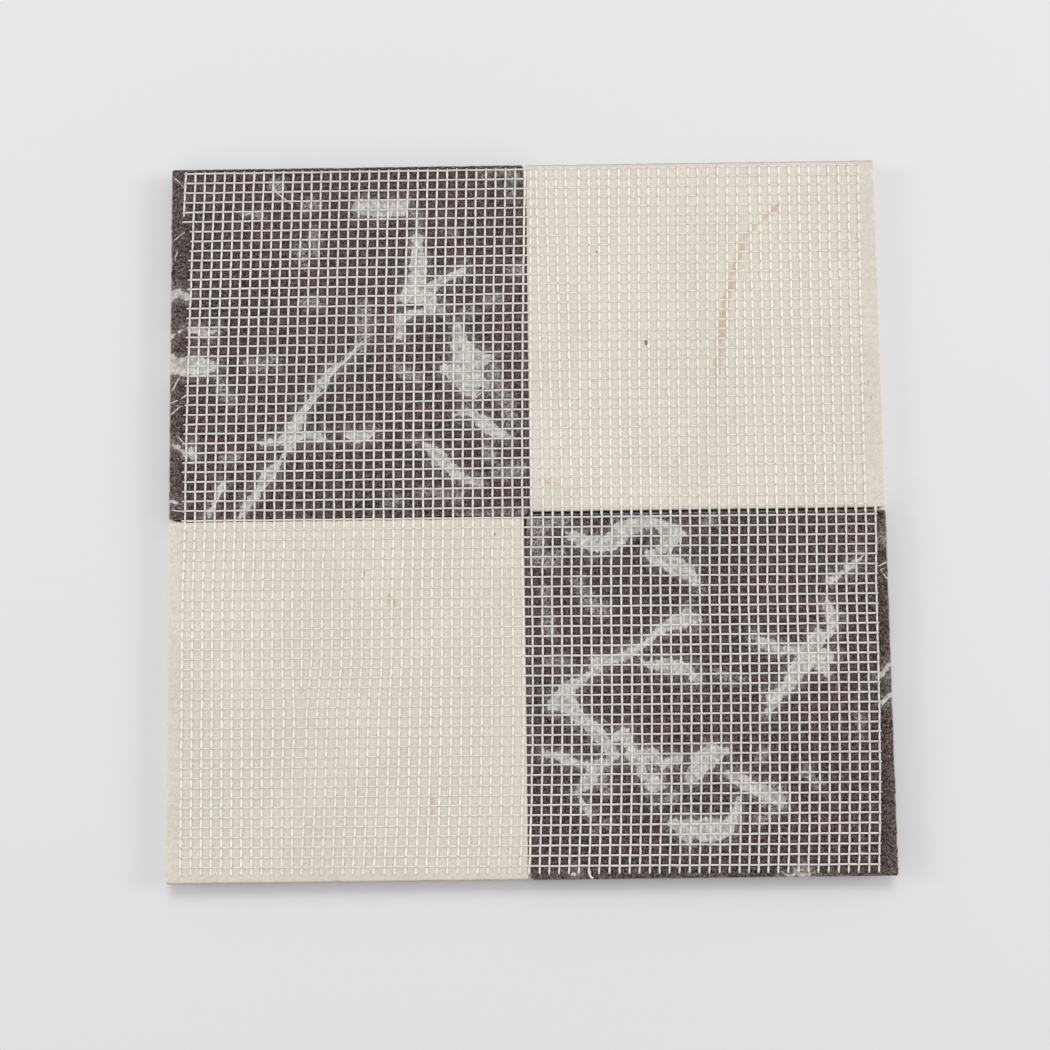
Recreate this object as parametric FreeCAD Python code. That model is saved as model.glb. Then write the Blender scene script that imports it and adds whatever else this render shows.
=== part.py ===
import FreeCAD, Part
import math
import os

from FreeCAD import Vector

# Marble tiles, in millimetres
dark_tile_side = 152.8
joint_gap = 1.0
tile_thickness = 10.0
corner_radius = 1.4
corner_clearance = 0.3
finished_rounding = 1.0
back_rounding = 0.7

# Glass-fibre net glued to the back of the tiles
weft_spacing = 4.19
weft_width = 0.75
weft_height = 0.35
warp_spacing = 4.22
warp_width = 0.95
warp_height = 0.45
warp_lean_degrees = 1.1
middle_warp_shift = 1.5
net_left_margin = 2.6
net_right_margin = 3.0
net_back_margin = 1.2
net_front_margin = 2.5
weft_tail = 0.7
patch_rows = 4
patch_columns = 4

# The two dark tiles pass each other corner to corner at the middle of the sheet,
# and the cream tiles fill the two squares that are left
dark_past_middle = corner_radius * (1 - math.sqrt(0.5)) - corner_clearance * math.sqrt(0.125)
sheet_side = 2 * (dark_tile_side - dark_past_middle)
cream_tile_side = sheet_side - dark_tile_side - joint_gap
half_sheet = sheet_side / 2

# The cut edges of the net, measured in from the edges of the sheet
net_left = -half_sheet + net_left_margin
net_right = half_sheet - net_right_margin
net_back = half_sheet - net_back_margin
net_front = -half_sheet + net_front_margin
lean = math.tan(math.radians(warp_lean_degrees))
tolerance = 0.001

weft_bottom = tile_thickness
warp_bottom = weft_bottom + weft_height


def level_edges(solid, height):
    """The edges of a solid that lie flat at one height."""
    return [edge for edge in solid.Edges
            if edge.BoundBox.ZLength < tolerance and abs(edge.BoundBox.ZMin - height) < tolerance]


def upright_edges(solid):
    """The edges of a solid that stand straight up."""
    return [edge for edge in solid.Edges if edge.BoundBox.ZLength > tile_thickness / 2]


def tile(side, toward_right, toward_back):
    """A square sawn tile in one quarter of the sheet, its finished face down."""
    left = half_sheet - side if toward_right else -half_sheet
    front = half_sheet - side if toward_back else -half_sheet
    slab = Part.makeBox(side, side, tile_thickness, Vector(left, front, 0))
    slab = slab.makeFillet(corner_radius, upright_edges(slab))
    slab = slab.makeFillet(finished_rounding, level_edges(slab, 0))
    return slab.makeFillet(back_rounding, level_edges(slab, tile_thickness))


def flat_thread(ends, width, along_x, bottom, height):
    """A flat thread between two (x, y) ends, which are cut square to its own run."""
    (x0, y0), (x1, y1) = ends
    half = width / 2
    if along_x:
        outline = [(x0, y0 - half), (x1, y1 - half), (x1, y1 + half), (x0, y0 + half)]
    else:
        outline = [(x0 - half, y0), (x0 + half, y0), (x1 + half, y1), (x1 - half, y1)]
    corners = [Vector(x, y, bottom) for x, y in outline + outline[:1]]
    return Part.Face(Part.makePolygon(corners)).extrude(Vector(0, 0, height))


def warp_x(number, y):
    """Where a leaning warp thread is at y, counted from the one nearest the middle."""
    return middle_warp_shift + number * warp_spacing + lean * y


def weft_y(number):
    """Where a weft thread lies, counted from the back of the net."""
    return net_back - weft_tail - number * weft_spacing


def inside(number, y):
    """Whether a warp thread is within the net's cut edges where it crosses y."""
    return net_left + warp_width / 2 < warp_x(number, y) < net_right - warp_width / 2


def shares(numbers, groups):
    """Split a run of thread numbers into groups that are as even as possible."""
    cuts = [round(len(numbers) * step / groups) for step in range(groups + 1)]
    return [numbers[low:high] for low, high in zip(cuts, cuts[1:])]


def warp_in_patch(number, rows, last_row):
    """The length of a warp thread across these weft rows, or None outside the net."""
    crossed = [row for row in rows if inside(number, weft_y(row))]
    if not crossed:
        return None
    back = net_back if crossed[0] == 0 else weft_y(crossed[0]) + weft_spacing / 2
    front = net_front if crossed[-1] == last_row else weft_y(crossed[-1]) - weft_spacing / 2
    ends = [(warp_x(number, front), front), (warp_x(number, back), back)]
    return flat_thread(ends, warp_width, False, warp_bottom, warp_height)


def net_patch(columns, rows, all_columns, all_rows):
    """One patch of the net: wefts below, warps above, fused where they cross."""
    threads = []
    for row in rows:
        y = weft_y(row)
        left = warp_x(columns[0] - 0.5, y)
        right = warp_x(columns[-1] + 0.5, y)
        left = net_left if columns[0] == all_columns[0] else left
        right = net_right if columns[-1] == all_columns[-1] else right
        ends = [(left, y), (right, y)]
        threads.append(flat_thread(ends, weft_width, True, weft_bottom, weft_height))
    for column in columns:
        warp = warp_in_patch(column, rows, all_rows[-1])
        if warp:
            threads.append(warp)
    return threads[0].multiFuse(threads[1:]).Solids[0]


def save(name, solid):
    """Write one solid as the STEP file of its own node."""
    solid.exportStep("parts/" + name + ".step")


os.makedirs("parts", exist_ok=True)

save("dark_tile_back_left", tile(dark_tile_side, False, True))
save("cream_tile_back_right", tile(cream_tile_side, True, True))
save("cream_tile_front_left", tile(cream_tile_side, False, False))
save("dark_tile_front_right", tile(dark_tile_side, True, False))

weft_count = int((net_back - weft_tail - net_front) / weft_spacing) + 1
all_rows = list(range(weft_count))
most_warps = int(half_sheet / warp_spacing)
all_columns = [number for number in range(-most_warps, most_warps + 1)
               if any(inside(number, weft_y(row)) for row in all_rows)]

for row_step, rows in enumerate(shares(all_rows, patch_rows), start=1):
    for column_step, columns in enumerate(shares(all_columns, patch_columns), start=1):
        name = "fibre_net_row%d_col%d" % (row_step, column_step)
        save(name, net_patch(columns, rows, all_columns, all_rows))

print("sheet", round(sheet_side, 3), "cream tile", round(cream_tile_side, 3))
print("threads", len(all_columns), "by", len(all_rows))
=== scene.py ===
# %% [markdown]
# # A mosaic tile sheet, net side up
# A sheet of mosaic is sold as a few stone tiles held at their spacing by an open glass-fibre net.
# This one has four marble tiles, two dark and two cream, and it lies finished face down,
# so what shows is the sawn backs and the net that is glued to them.
# The lesson builds it in the order a workshop would: stone first, then the net, then the light.

# %% [markdown]
# ## The frame
# The sizes come from a solid model that is loaded first. Nothing in it is moved.
# Each new piece takes its place from that model and stands in for one or more of its parts.

# %% Load the frame
import math

import bmesh
import bpy
import numpy as np
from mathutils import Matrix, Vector, noise


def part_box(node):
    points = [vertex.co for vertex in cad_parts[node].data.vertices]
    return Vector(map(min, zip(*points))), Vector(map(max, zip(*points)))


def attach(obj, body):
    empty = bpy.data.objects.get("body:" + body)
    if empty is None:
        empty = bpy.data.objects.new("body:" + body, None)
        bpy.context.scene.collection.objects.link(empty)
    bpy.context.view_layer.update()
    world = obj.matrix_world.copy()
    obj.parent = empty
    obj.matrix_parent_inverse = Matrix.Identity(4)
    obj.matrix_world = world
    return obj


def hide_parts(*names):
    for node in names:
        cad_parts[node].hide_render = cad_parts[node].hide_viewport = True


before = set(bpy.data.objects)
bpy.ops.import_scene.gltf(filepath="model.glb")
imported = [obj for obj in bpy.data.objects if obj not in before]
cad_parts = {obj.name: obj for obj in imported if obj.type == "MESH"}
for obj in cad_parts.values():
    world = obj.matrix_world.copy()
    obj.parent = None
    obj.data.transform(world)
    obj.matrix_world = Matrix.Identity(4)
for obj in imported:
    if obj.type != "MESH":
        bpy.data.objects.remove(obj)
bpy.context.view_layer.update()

MM = 0.001

# %% [markdown]
# ## Sizes that several steps share
# The tiles' boxes tell where the sheet ends. Places on the sheet were measured on the photo,
# in millimetres to the right of and down from its back left corner.
# The photo is a little wider at the back and bowed downwards in the middle, and two small terms
# take that out of every mark that was read off it.

# %% Sheet sizes and the measuring grid
TILES = {
    "dark": ["dark_tile_back_left", "dark_tile_front_right"],
    "cream": ["cream_tile_back_right", "cream_tile_front_left"],
}
SHEET_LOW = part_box("dark_tile_back_left")[0].x / MM
SHEET_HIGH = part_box("dark_tile_back_left")[1].y / MM
SHEET_SIDE = SHEET_HIGH - SHEET_LOW
TILE_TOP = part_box("dark_tile_back_left")[1].z / MM
NET_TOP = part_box("fibre_net_row1_col1")[1].z / MM
PHOTO_BOW = 0.0098
WIDER_AT_BACK = 1.6
WIDER_AT_FRONT = 0.45


def sheet_x(right):
    """The row frame's x, in millimetres, of a distance right of the sheet's left edge."""
    return SHEET_LOW + right


def on_sheet(right, down):
    """The row frame's x and y, in millimetres, of a place read off the photo."""
    half = SHEET_SIDE / 2
    wider = WIDER_AT_BACK + (WIDER_AT_FRONT - WIDER_AT_BACK) * down / SHEET_SIDE
    x = (right - half) * (1 - wider / half)
    y = SHEET_HIGH - down + PHOTO_BOW * down * (SHEET_SIDE - down) / SHEET_SIDE
    return x, y


print("sheet side", round(SHEET_SIDE, 2), "tile top", round(TILE_TOP, 2), "net top", round(NET_TOP, 2))

# %% [markdown]
# ## How the threads run
# The net was laid by hand, so its threads lean and wander. Both the net and the stone need to
# know where the threads are: the net to be built there, and the stone to be darkened beside them
# with painted shade. So the paths are two formulas that either can ask.
# Warps run from back to front and wefts from left to right. A few of each were measured
# on the photo, and the others take a place between them.

# %% What was read off the photo
WARPS = 71
WEFTS = 72
WARP_SPACING = 4.22
WEFT_SPACING = 4.19
# (number, offset of the thread in mm at the middle of the sheet, how far it leans at the back edge)
WARP_HABITS = np.array([
    (0, 7.2, 3.5), (10, 7.2, 3.8), (15, 7.2, 3.0), (34, 7.1, 3.1), (35, 6.7, 1.7), (36, 7.4, -1.0),
    (39, 7.0, -0.5), (40, 6.9, 1.2), (45, 6.9, 1.8), (50, 6.5, 2.4), (56, 6.1, 3.3), (58, 5.5, 0.5),
    (60, 5.3, 0.8), (70, 4.9, 1.9),
])
# (number, offset of the thread in mm, how much nearer the front its right end is)
WEFT_HABITS = np.array([
    (0, 2.15, 0.1), (8, 2.5, -0.6), (25, 2.45, -1.3), (31, 2.45, -0.3), (36, 2.85, 0.9), (45, 3.0, 0.7),
    (54, 2.5, 0.4), (60, 2.1, 0.4), (66, 1.7, 1.1), (71, 1.6, 2.0),
])
MEAN_LEVEL = 2.4
# Warps that are there only from one distance down to another
BROKEN_WARPS = {-1: (0.0, 21.0), 12: (0.0, 226.0), 57: (52.0, 400.0), 70: (150.0, 400.0)}


# %% Paths of the threads
def smooth(value, start, end):
    """0 before start, 1 after end, and an even S between them."""
    t = np.clip((value - start) / (end - start), 0, 1)
    return t * t * (3 - 2 * t)


def wave(value, length, seed):
    """A smooth wander between about -1 and 1, the same on every run."""
    t = 2 * math.pi * value / length
    return 0.55 * np.sin(t + 1.7 * seed) + 0.3 * np.sin(1.93 * t + 2.9 * seed) + 0.15 * np.sin(3.7 * t + 5.3 * seed)


def habit(table, column, number):
    """A column of one of the tables above, for any thread number."""
    return np.interp(number, table[:, 0], table[:, column])


def warp_x(number, y):
    """x of a warp thread at y, both in millimetres in the row frame."""
    number = np.asarray(number, float)
    down = SHEET_HIGH - y
    back = np.clip(y / SHEET_HIGH, 0, 1)
    front = np.clip(-y / SHEET_HIGH, 0, 1)
    base = number * WARP_SPACING + habit(WARP_HABITS, 1, number)
    lean = habit(WARP_HABITS, 2, number) * back ** 1.6 - 0.8 * smooth(front, 0, 0.25)
    # Number 12 ends inside the sheet. Those after it close in, and those before it give way.
    follows = smooth(number, 11, 13)
    slip = smooth(down, 208, 238)
    closing = follows * (3.0 * front ** 3 + 1.8 * slip * (1 - smooth(number, 13, 30)))
    opening = 0.8 * slip * (1 - smooth(down, 240, 265)) * smooth(number, 7, 11) * (1 - follows)
    # One warp keeps clear of the joint in the front half.
    clear = 0.7 * smooth(front, 0.1, 0.25) * smooth(number, 31, 34) * (1 - smooth(number, 35, 36))
    right = base + lean - closing + opening + clear
    return sheet_x(right)


def weft_y(number, x):
    """y of a weft thread at x, both in millimetres in the row frame. Numbers may be fractions."""
    number = np.asarray(number, float)
    tilt = habit(WEFT_HABITS, 2, number) * x / SHEET_SIDE
    return SHEET_HIGH - (number * WEFT_SPACING + habit(WEFT_HABITS, 1, number) + tilt)


print("first warp at the middle", float(warp_x(0, 0.0)), "last", float(warp_x(WARPS - 1, 0.0)))

# %% [markdown]
# ## Camera
# The photo looks almost straight down on the sheet from just in front of its middle.
# The sheet's corners and joints, seen in the photo, give the camera's height, tilt and lens.

# %% Camera
CAMERA_PLACE = (0.8, -45.8, 543.1)
CAMERA_TILT = (4.44, 0.24, -0.74)
LENS_TO_WIDTH = 1.2

camera_data = bpy.data.cameras.new("camera")
camera_data.sensor_width = 36.0
camera_data.lens = LENS_TO_WIDTH * camera_data.sensor_width
camera = bpy.data.objects.new("camera", camera_data)
camera.location = Vector(CAMERA_PLACE) * MM
camera.rotation_euler = [math.radians(angle) for angle in CAMERA_TILT]
bpy.context.scene.collection.objects.link(camera)
bpy.context.scene.camera = camera
print("camera height", round(camera.location.z, 3), "lens", round(camera_data.lens, 1))

# %% [markdown]
# ## Shader arithmetic
# A pattern such as a vein is easier to read as a formula than as a drawing of boxes and links.
# This small class wraps a node's output, so that `1 - mask * 0.5` adds the Math nodes by itself.

# %% Sockets that Python can do sums with


class Wire:
    """A node's output. Sums on it add Math nodes to the same material."""

    def __init__(self, finish, socket):
        self.finish = finish
        self.socket = socket

    def sum(self, operation, first, second):
        settings = {"operation": operation}
        return self.finish.node("ShaderNodeMath", settings, {0: first, 1: second})

    def __add__(self, other):
        return self.sum("ADD", self, other)

    def __radd__(self, other):
        return self.sum("ADD", other, self)

    def __sub__(self, other):
        return self.sum("SUBTRACT", self, other)

    def __rsub__(self, other):
        return self.sum("SUBTRACT", other, self)

    def __mul__(self, other):
        return self.sum("MULTIPLY", self, other)

    def __rmul__(self, other):
        return self.sum("MULTIPLY", other, self)

    def lower(self, other):
        return self.sum("MINIMUM", self, other)

    def higher(self, other):
        return self.sum("MAXIMUM", self, other)

    def to_whole(self):
        """How far a number is from the nearest whole number."""
        return self.sum("PINGPONG", self, 0.5)

    def size(self):
        """The number without its sign."""
        return self.sum("ABSOLUTE", self, 0.0)

    def rise(self, start, end):
        """0 at start and 1 at end, with a soft S between."""
        settings = {"interpolation_type": "SMOOTHSTEP", "clamp": True}
        return self.finish.node("ShaderNodeMapRange", settings, {0: self, 1: start, 2: end})


class Finish:
    """A material under construction, with a Principled shader at its end."""

    def __init__(self, name):
        self.material = bpy.data.materials.new(name)
        self.material.use_nodes = True
        self.tree = self.material.node_tree
        self.shader = self.tree.nodes["Principled BSDF"]
        place = self.node("ShaderNodeTexCoord", {}, {}, "Object")
        scaled = {"operation": "SCALE"}
        self.place = self.node("ShaderNodeVectorMath", scaled, {0: place, "Scale": 1 / MM})

    def node(self, kind, settings, inputs, output=0):
        """Add one node, set it, fill or link its sockets and return one of its outputs."""
        made = self.tree.nodes.new(kind)
        for key, value in settings.items():
            setattr(made, key, value)
        for key, value in inputs.items():
            self.feed(made.inputs[key], value)
        return Wire(self, made.outputs[output])

    def feed(self, socket, value):
        if isinstance(value, Wire):
            self.tree.links.new(value.socket, socket)
        else:
            socket.default_value = value

    def attribute(self, name):
        return self.node("ShaderNodeAttribute", {"attribute_name": name}, {}, "Fac")

    def cloud(self, size, detail=3.0, place=None, shift=0.0, dimensions="3D"):
        """Noise from 0 to 1 whose patches are about this many millimetres across."""
        place = place or self.place
        if shift:
            moved = {"operation": "ADD"}
            place = self.node("ShaderNodeVectorMath", moved, {0: place, 1: (shift, shift, shift)})
        inputs = {"Vector": place, "Scale": 1 / size, "Detail": detail}
        return self.node("ShaderNodeTexNoise", {"noise_dimensions": dimensions}, inputs)

    def ragged(self, size, amount, detail=4.0, shift=0.0):
        """Noise around 0, to add to a distance in millimetres so that its edge frays."""
        return (self.cloud(size, detail, shift=shift) - 0.5) * amount

    def mix(self, share, first, second, blend="MIX"):
        """Mix two colours."""
        settings = {"data_type": "RGBA", "blend_type": blend}
        return self.node("ShaderNodeMix", settings, {0: share, 6: first, 7: second}, 2)

    def grey(self, level):
        """A number as a grey colour, to multiply another colour with."""
        return self.node("ShaderNodeCombineColor", {}, {0: level, 1: level, 2: level})

    def bump(self, height, depth, distance=0.0002):
        inputs = {"Height": height, "Strength": depth, "Distance": distance}
        return self.node("ShaderNodeBump", {}, inputs)

    def set(self, **sockets):
        for key, value in sockets.items():
            self.feed(self.shader.inputs[key.replace("_", " ")], value)
        return self.material


def colour(red, green, blue):
    """A colour given in screen values from 0 to 255, as the light it stands for."""
    def light(value):
        value = value / 255
        return value / 12.92 if value <= 0.04045 else ((value + 0.055) / 1.055) ** 2.4
    return (light(red), light(green), light(blue), 1.0)


print("a mid grey is", round(colour(128, 128, 128)[0], 3))

# %% [markdown]
# ## Dark marble
# The dark tiles are a purple-brown marble with grey-green clouds and white calcite veins.
# The large veins follow the photo: each tile's mesh carries how far every point is
# from the nearest vein, in millimetres, and noise in the shader frays that edge.
# The stone beside each thread is darkened with painted shade, where the threads shade it,
# and two more numbers on the mesh tell how far the nearest warp and weft are.


# %% Shared stone helpers
def beside_threads(finish):
    """1 in the stone right beside a thread, fading to 0 in the middle of a cell."""
    warp_gap = finish.attribute("warp_count").to_whole() * WARP_SPACING
    weft_gap = finish.attribute("weft_count").to_whole() * WEFT_SPACING
    near = warp_gap.lower(weft_gap)
    return near.rise(1.25, 0.55) * finish.attribute("netted")


def finished_side(finish):
    """1 on the honed face that the sheet lies on, and 0 on the sawn back."""
    parts = finish.node("ShaderNodeSeparateXYZ", {}, {0: finish.place}, "Z")
    return parts.rise(1.2, 0.4)


def side_arris_highlight(finish):
    """Up to 1 in broken stretches on the arris of the sheet's left and right edges, for a painted highlight where
    the side lights catch it.
    """
    x = finish.node("ShaderNodeSeparateXYZ", {}, {0: finish.place}, "X").size()
    z = finish.node("ShaderNodeSeparateXYZ", {}, {0: finish.place}, "Z")
    broken = finish.cloud(2.4, 4.0, shift=12.0).rise(0.32, 0.6)
    return x.rise(SHEET_HIGH - 0.8, SHEET_HIGH - 0.3) * z.rise(TILE_TOP - 1.2, TILE_TOP - 0.6) * broken


# %% Dark marble finish
def dark_marble():
    stone = Finish("dark_marble")
    base = stone.mix(stone.cloud(30, 3.0).rise(0.38, 0.62), colour(85, 64, 61), colour(77, 61, 57))
    base = stone.mix(stone.cloud(13, 4.0, shift=40.0).rise(0.45, 0.68) * 0.5, base, colour(87, 61, 61))
    outside = 1.0 - stone.attribute("netted")
    base = stone.mix(outside * 0.75, base, colour(84, 76, 70))
    # Painted shade: the stone right beside each thread is darkened where the threads shade it.
    shade_beside_threads = beside_threads(stone)
    base = stone.mix(shade_beside_threads * 0.75, base, colour(33, 21, 21))
    z = stone.node("ShaderNodeSeparateXYZ", {}, {0: stone.place}, "Z")
    speckle = (stone.ragged(0.85, 7.0, 2.0) + stone.ragged(3.2, 1.6)) * (0.4 + 0.6 * z.rise(TILE_TOP - 2.5, TILE_TOP - 0.8))
    base = stone.mix(1.0, base, stone.grey((1.0 + speckle).higher(0.14)), "MULTIPLY")
    flecks = stone.cloud(1.0, 2.0, shift=17.0)
    base = stone.mix(flecks.rise(0.58, 0.70) * 0.5, base, colour(158, 148, 142))

    fray = stone.ragged(7.0, 9.0) + stone.ragged(1.9, 5.0, shift=3.0)
    cloudy = (stone.attribute("haze") + fray).rise(3.0, -1.6)
    crust = (stone.attribute("vein") + fray * 1.2).rise(4.2, 0.2) * 0.55
    pale = (cloudy + crust).lower(1.0) * flecks.rise(0.34, 0.62)
    base = stone.mix(pale * 0.8, base, colour(176, 169, 163))
    edge = stone.attribute("vein") + fray * 0.6
    shade = edge.rise(1.1, 0.3)
    base = stone.mix(shade * 0.35, base, colour(52, 34, 34))
    calcite = stone.mix(stone.cloud(2.4, 4.0, shift=70.0).rise(0.34, 0.62), colour(164, 158, 152), colour(208, 203, 196))
    # The painted shade beside the threads darkens the calcite a little too.
    calcite = stone.mix(shade_beside_threads * 0.15, calcite, colour(150, 146, 140))
    calcite = stone.mix(1.0, calcite, stone.grey(1.0 + speckle * 0.22), "MULTIPLY")
    base = stone.mix(edge.rise(0.5, -0.3), base, calcite)
    lines = (stone.attribute("hair") + stone.ragged(5.0, 1.2, shift=9.0)).size().rise(0.34, 0.12)
    base = stone.mix(lines * stone.cloud(5.0, 3.0, shift=50.0).rise(0.36, 0.52), base, colour(222, 214, 208))

    arris = stone.attribute("rim").rise(0.7, 0.1) * stone.cloud(1.8, 3.0, shift=5.0).rise(0.36, 0.56)
    base = stone.mix(arris * 0.5, base, colour(196, 184, 178))
    # Painted highlight on the left and right arrises, where the side lights catch them.
    base = stone.mix(side_arris_highlight(stone) * 0.8, base, colour(204, 193, 187))
    honed = finished_side(stone)
    rough = 0.66 - shade_beside_threads * 0.12 - honed * 0.38
    stone.set(Specular_IOR_Level=0.25)
    return stone.set(Base_Color=base, Roughness=rough, Normal=stone.bump(speckle * (1.0 - honed * 0.9), 0.3))


# %% [markdown]
# ## Cream marble
# The cream tiles are nearly plain. Up close they are warm with faint pink and green-grey clouds,
# one or two soft brown veins, and a few dark pores. The same numbers on the mesh place them.


# %% Cream marble finish
def cream_marble():
    stone = Finish("cream_marble")
    base = stone.mix(stone.cloud(30, 3.0).rise(0.35, 0.65), colour(217, 209, 197), colour(223, 215, 203))
    base = stone.mix(stone.cloud(14, 4.0, shift=33.0).rise(0.5, 0.75) * 0.6, base, colour(213, 210, 200))
    base = stone.mix(stone.cloud(9, 4.0, shift=61.0).rise(0.52, 0.75) * 0.5, base, colour(226, 211, 199))
    speckle = stone.ragged(0.8, 0.5, 2.0) + stone.ragged(2.5, 0.16)
    base = stone.mix(1.0, base, stone.grey(1.0 + speckle), "MULTIPLY")
    fray = stone.ragged(5.0, 5.0) + stone.ragged(1.4, 2.0, shift=3.0)
    brown = (stone.attribute("haze") + fray * 0.8).rise(1.6, -0.8)
    brown = brown * stone.cloud(4.0, 4.0, shift=21.0).rise(0.28, 0.52)
    base = stone.mix(brown * 0.7, base, colour(194, 168, 140))
    pores = (stone.attribute("vein") + fray * 0.05).rise(0.25, -0.15)
    base = stone.mix(pores * 0.85, base, colour(88, 72, 62))
    # Painted shade beside the threads, faint on the cream stone.
    shade_beside_threads = beside_threads(stone)
    base = stone.mix(shade_beside_threads * 0.1, base, colour(198, 187, 172))
    # Painted highlight: the rounded arris all round the tile is lighter, where light catches it.
    edge = stone.attribute("rim").rise(1.2, 0.3)
    base = stone.mix(edge * 0.4, base, colour(232, 222, 204))
    # Painted highlight on the left and right arrises, where the side lights catch them.
    base = stone.mix(side_arris_highlight(stone) * 0.6, base, colour(243, 234, 220))
    y = stone.node("ShaderNodeSeparateXYZ", {}, {0: stone.place}, "Y")
    # Painted shade: the back and front arrises are painted darker, as they lie in shade.
    base = stone.mix(y.rise(SHEET_HIGH - 1.3, SHEET_HIGH - 0.5) * 0.6, base, colour(172, 159, 142))
    base = stone.mix((y * -1.0).rise(SHEET_HIGH - 1.2, SHEET_HIGH - 0.4) * 0.6, base, colour(160, 143, 132))
    honed = finished_side(stone)
    rough = 0.62 - shade_beside_threads * 0.1 - honed * 0.36
    return stone.set(Base_Color=base, Roughness=rough, Normal=stone.bump(speckle * (1.0 - honed * 0.9), 0.8))


STONE = {"dark": dark_marble(), "cream": cream_marble()}
print("stone materials", [material.name for material in STONE.values()])
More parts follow.
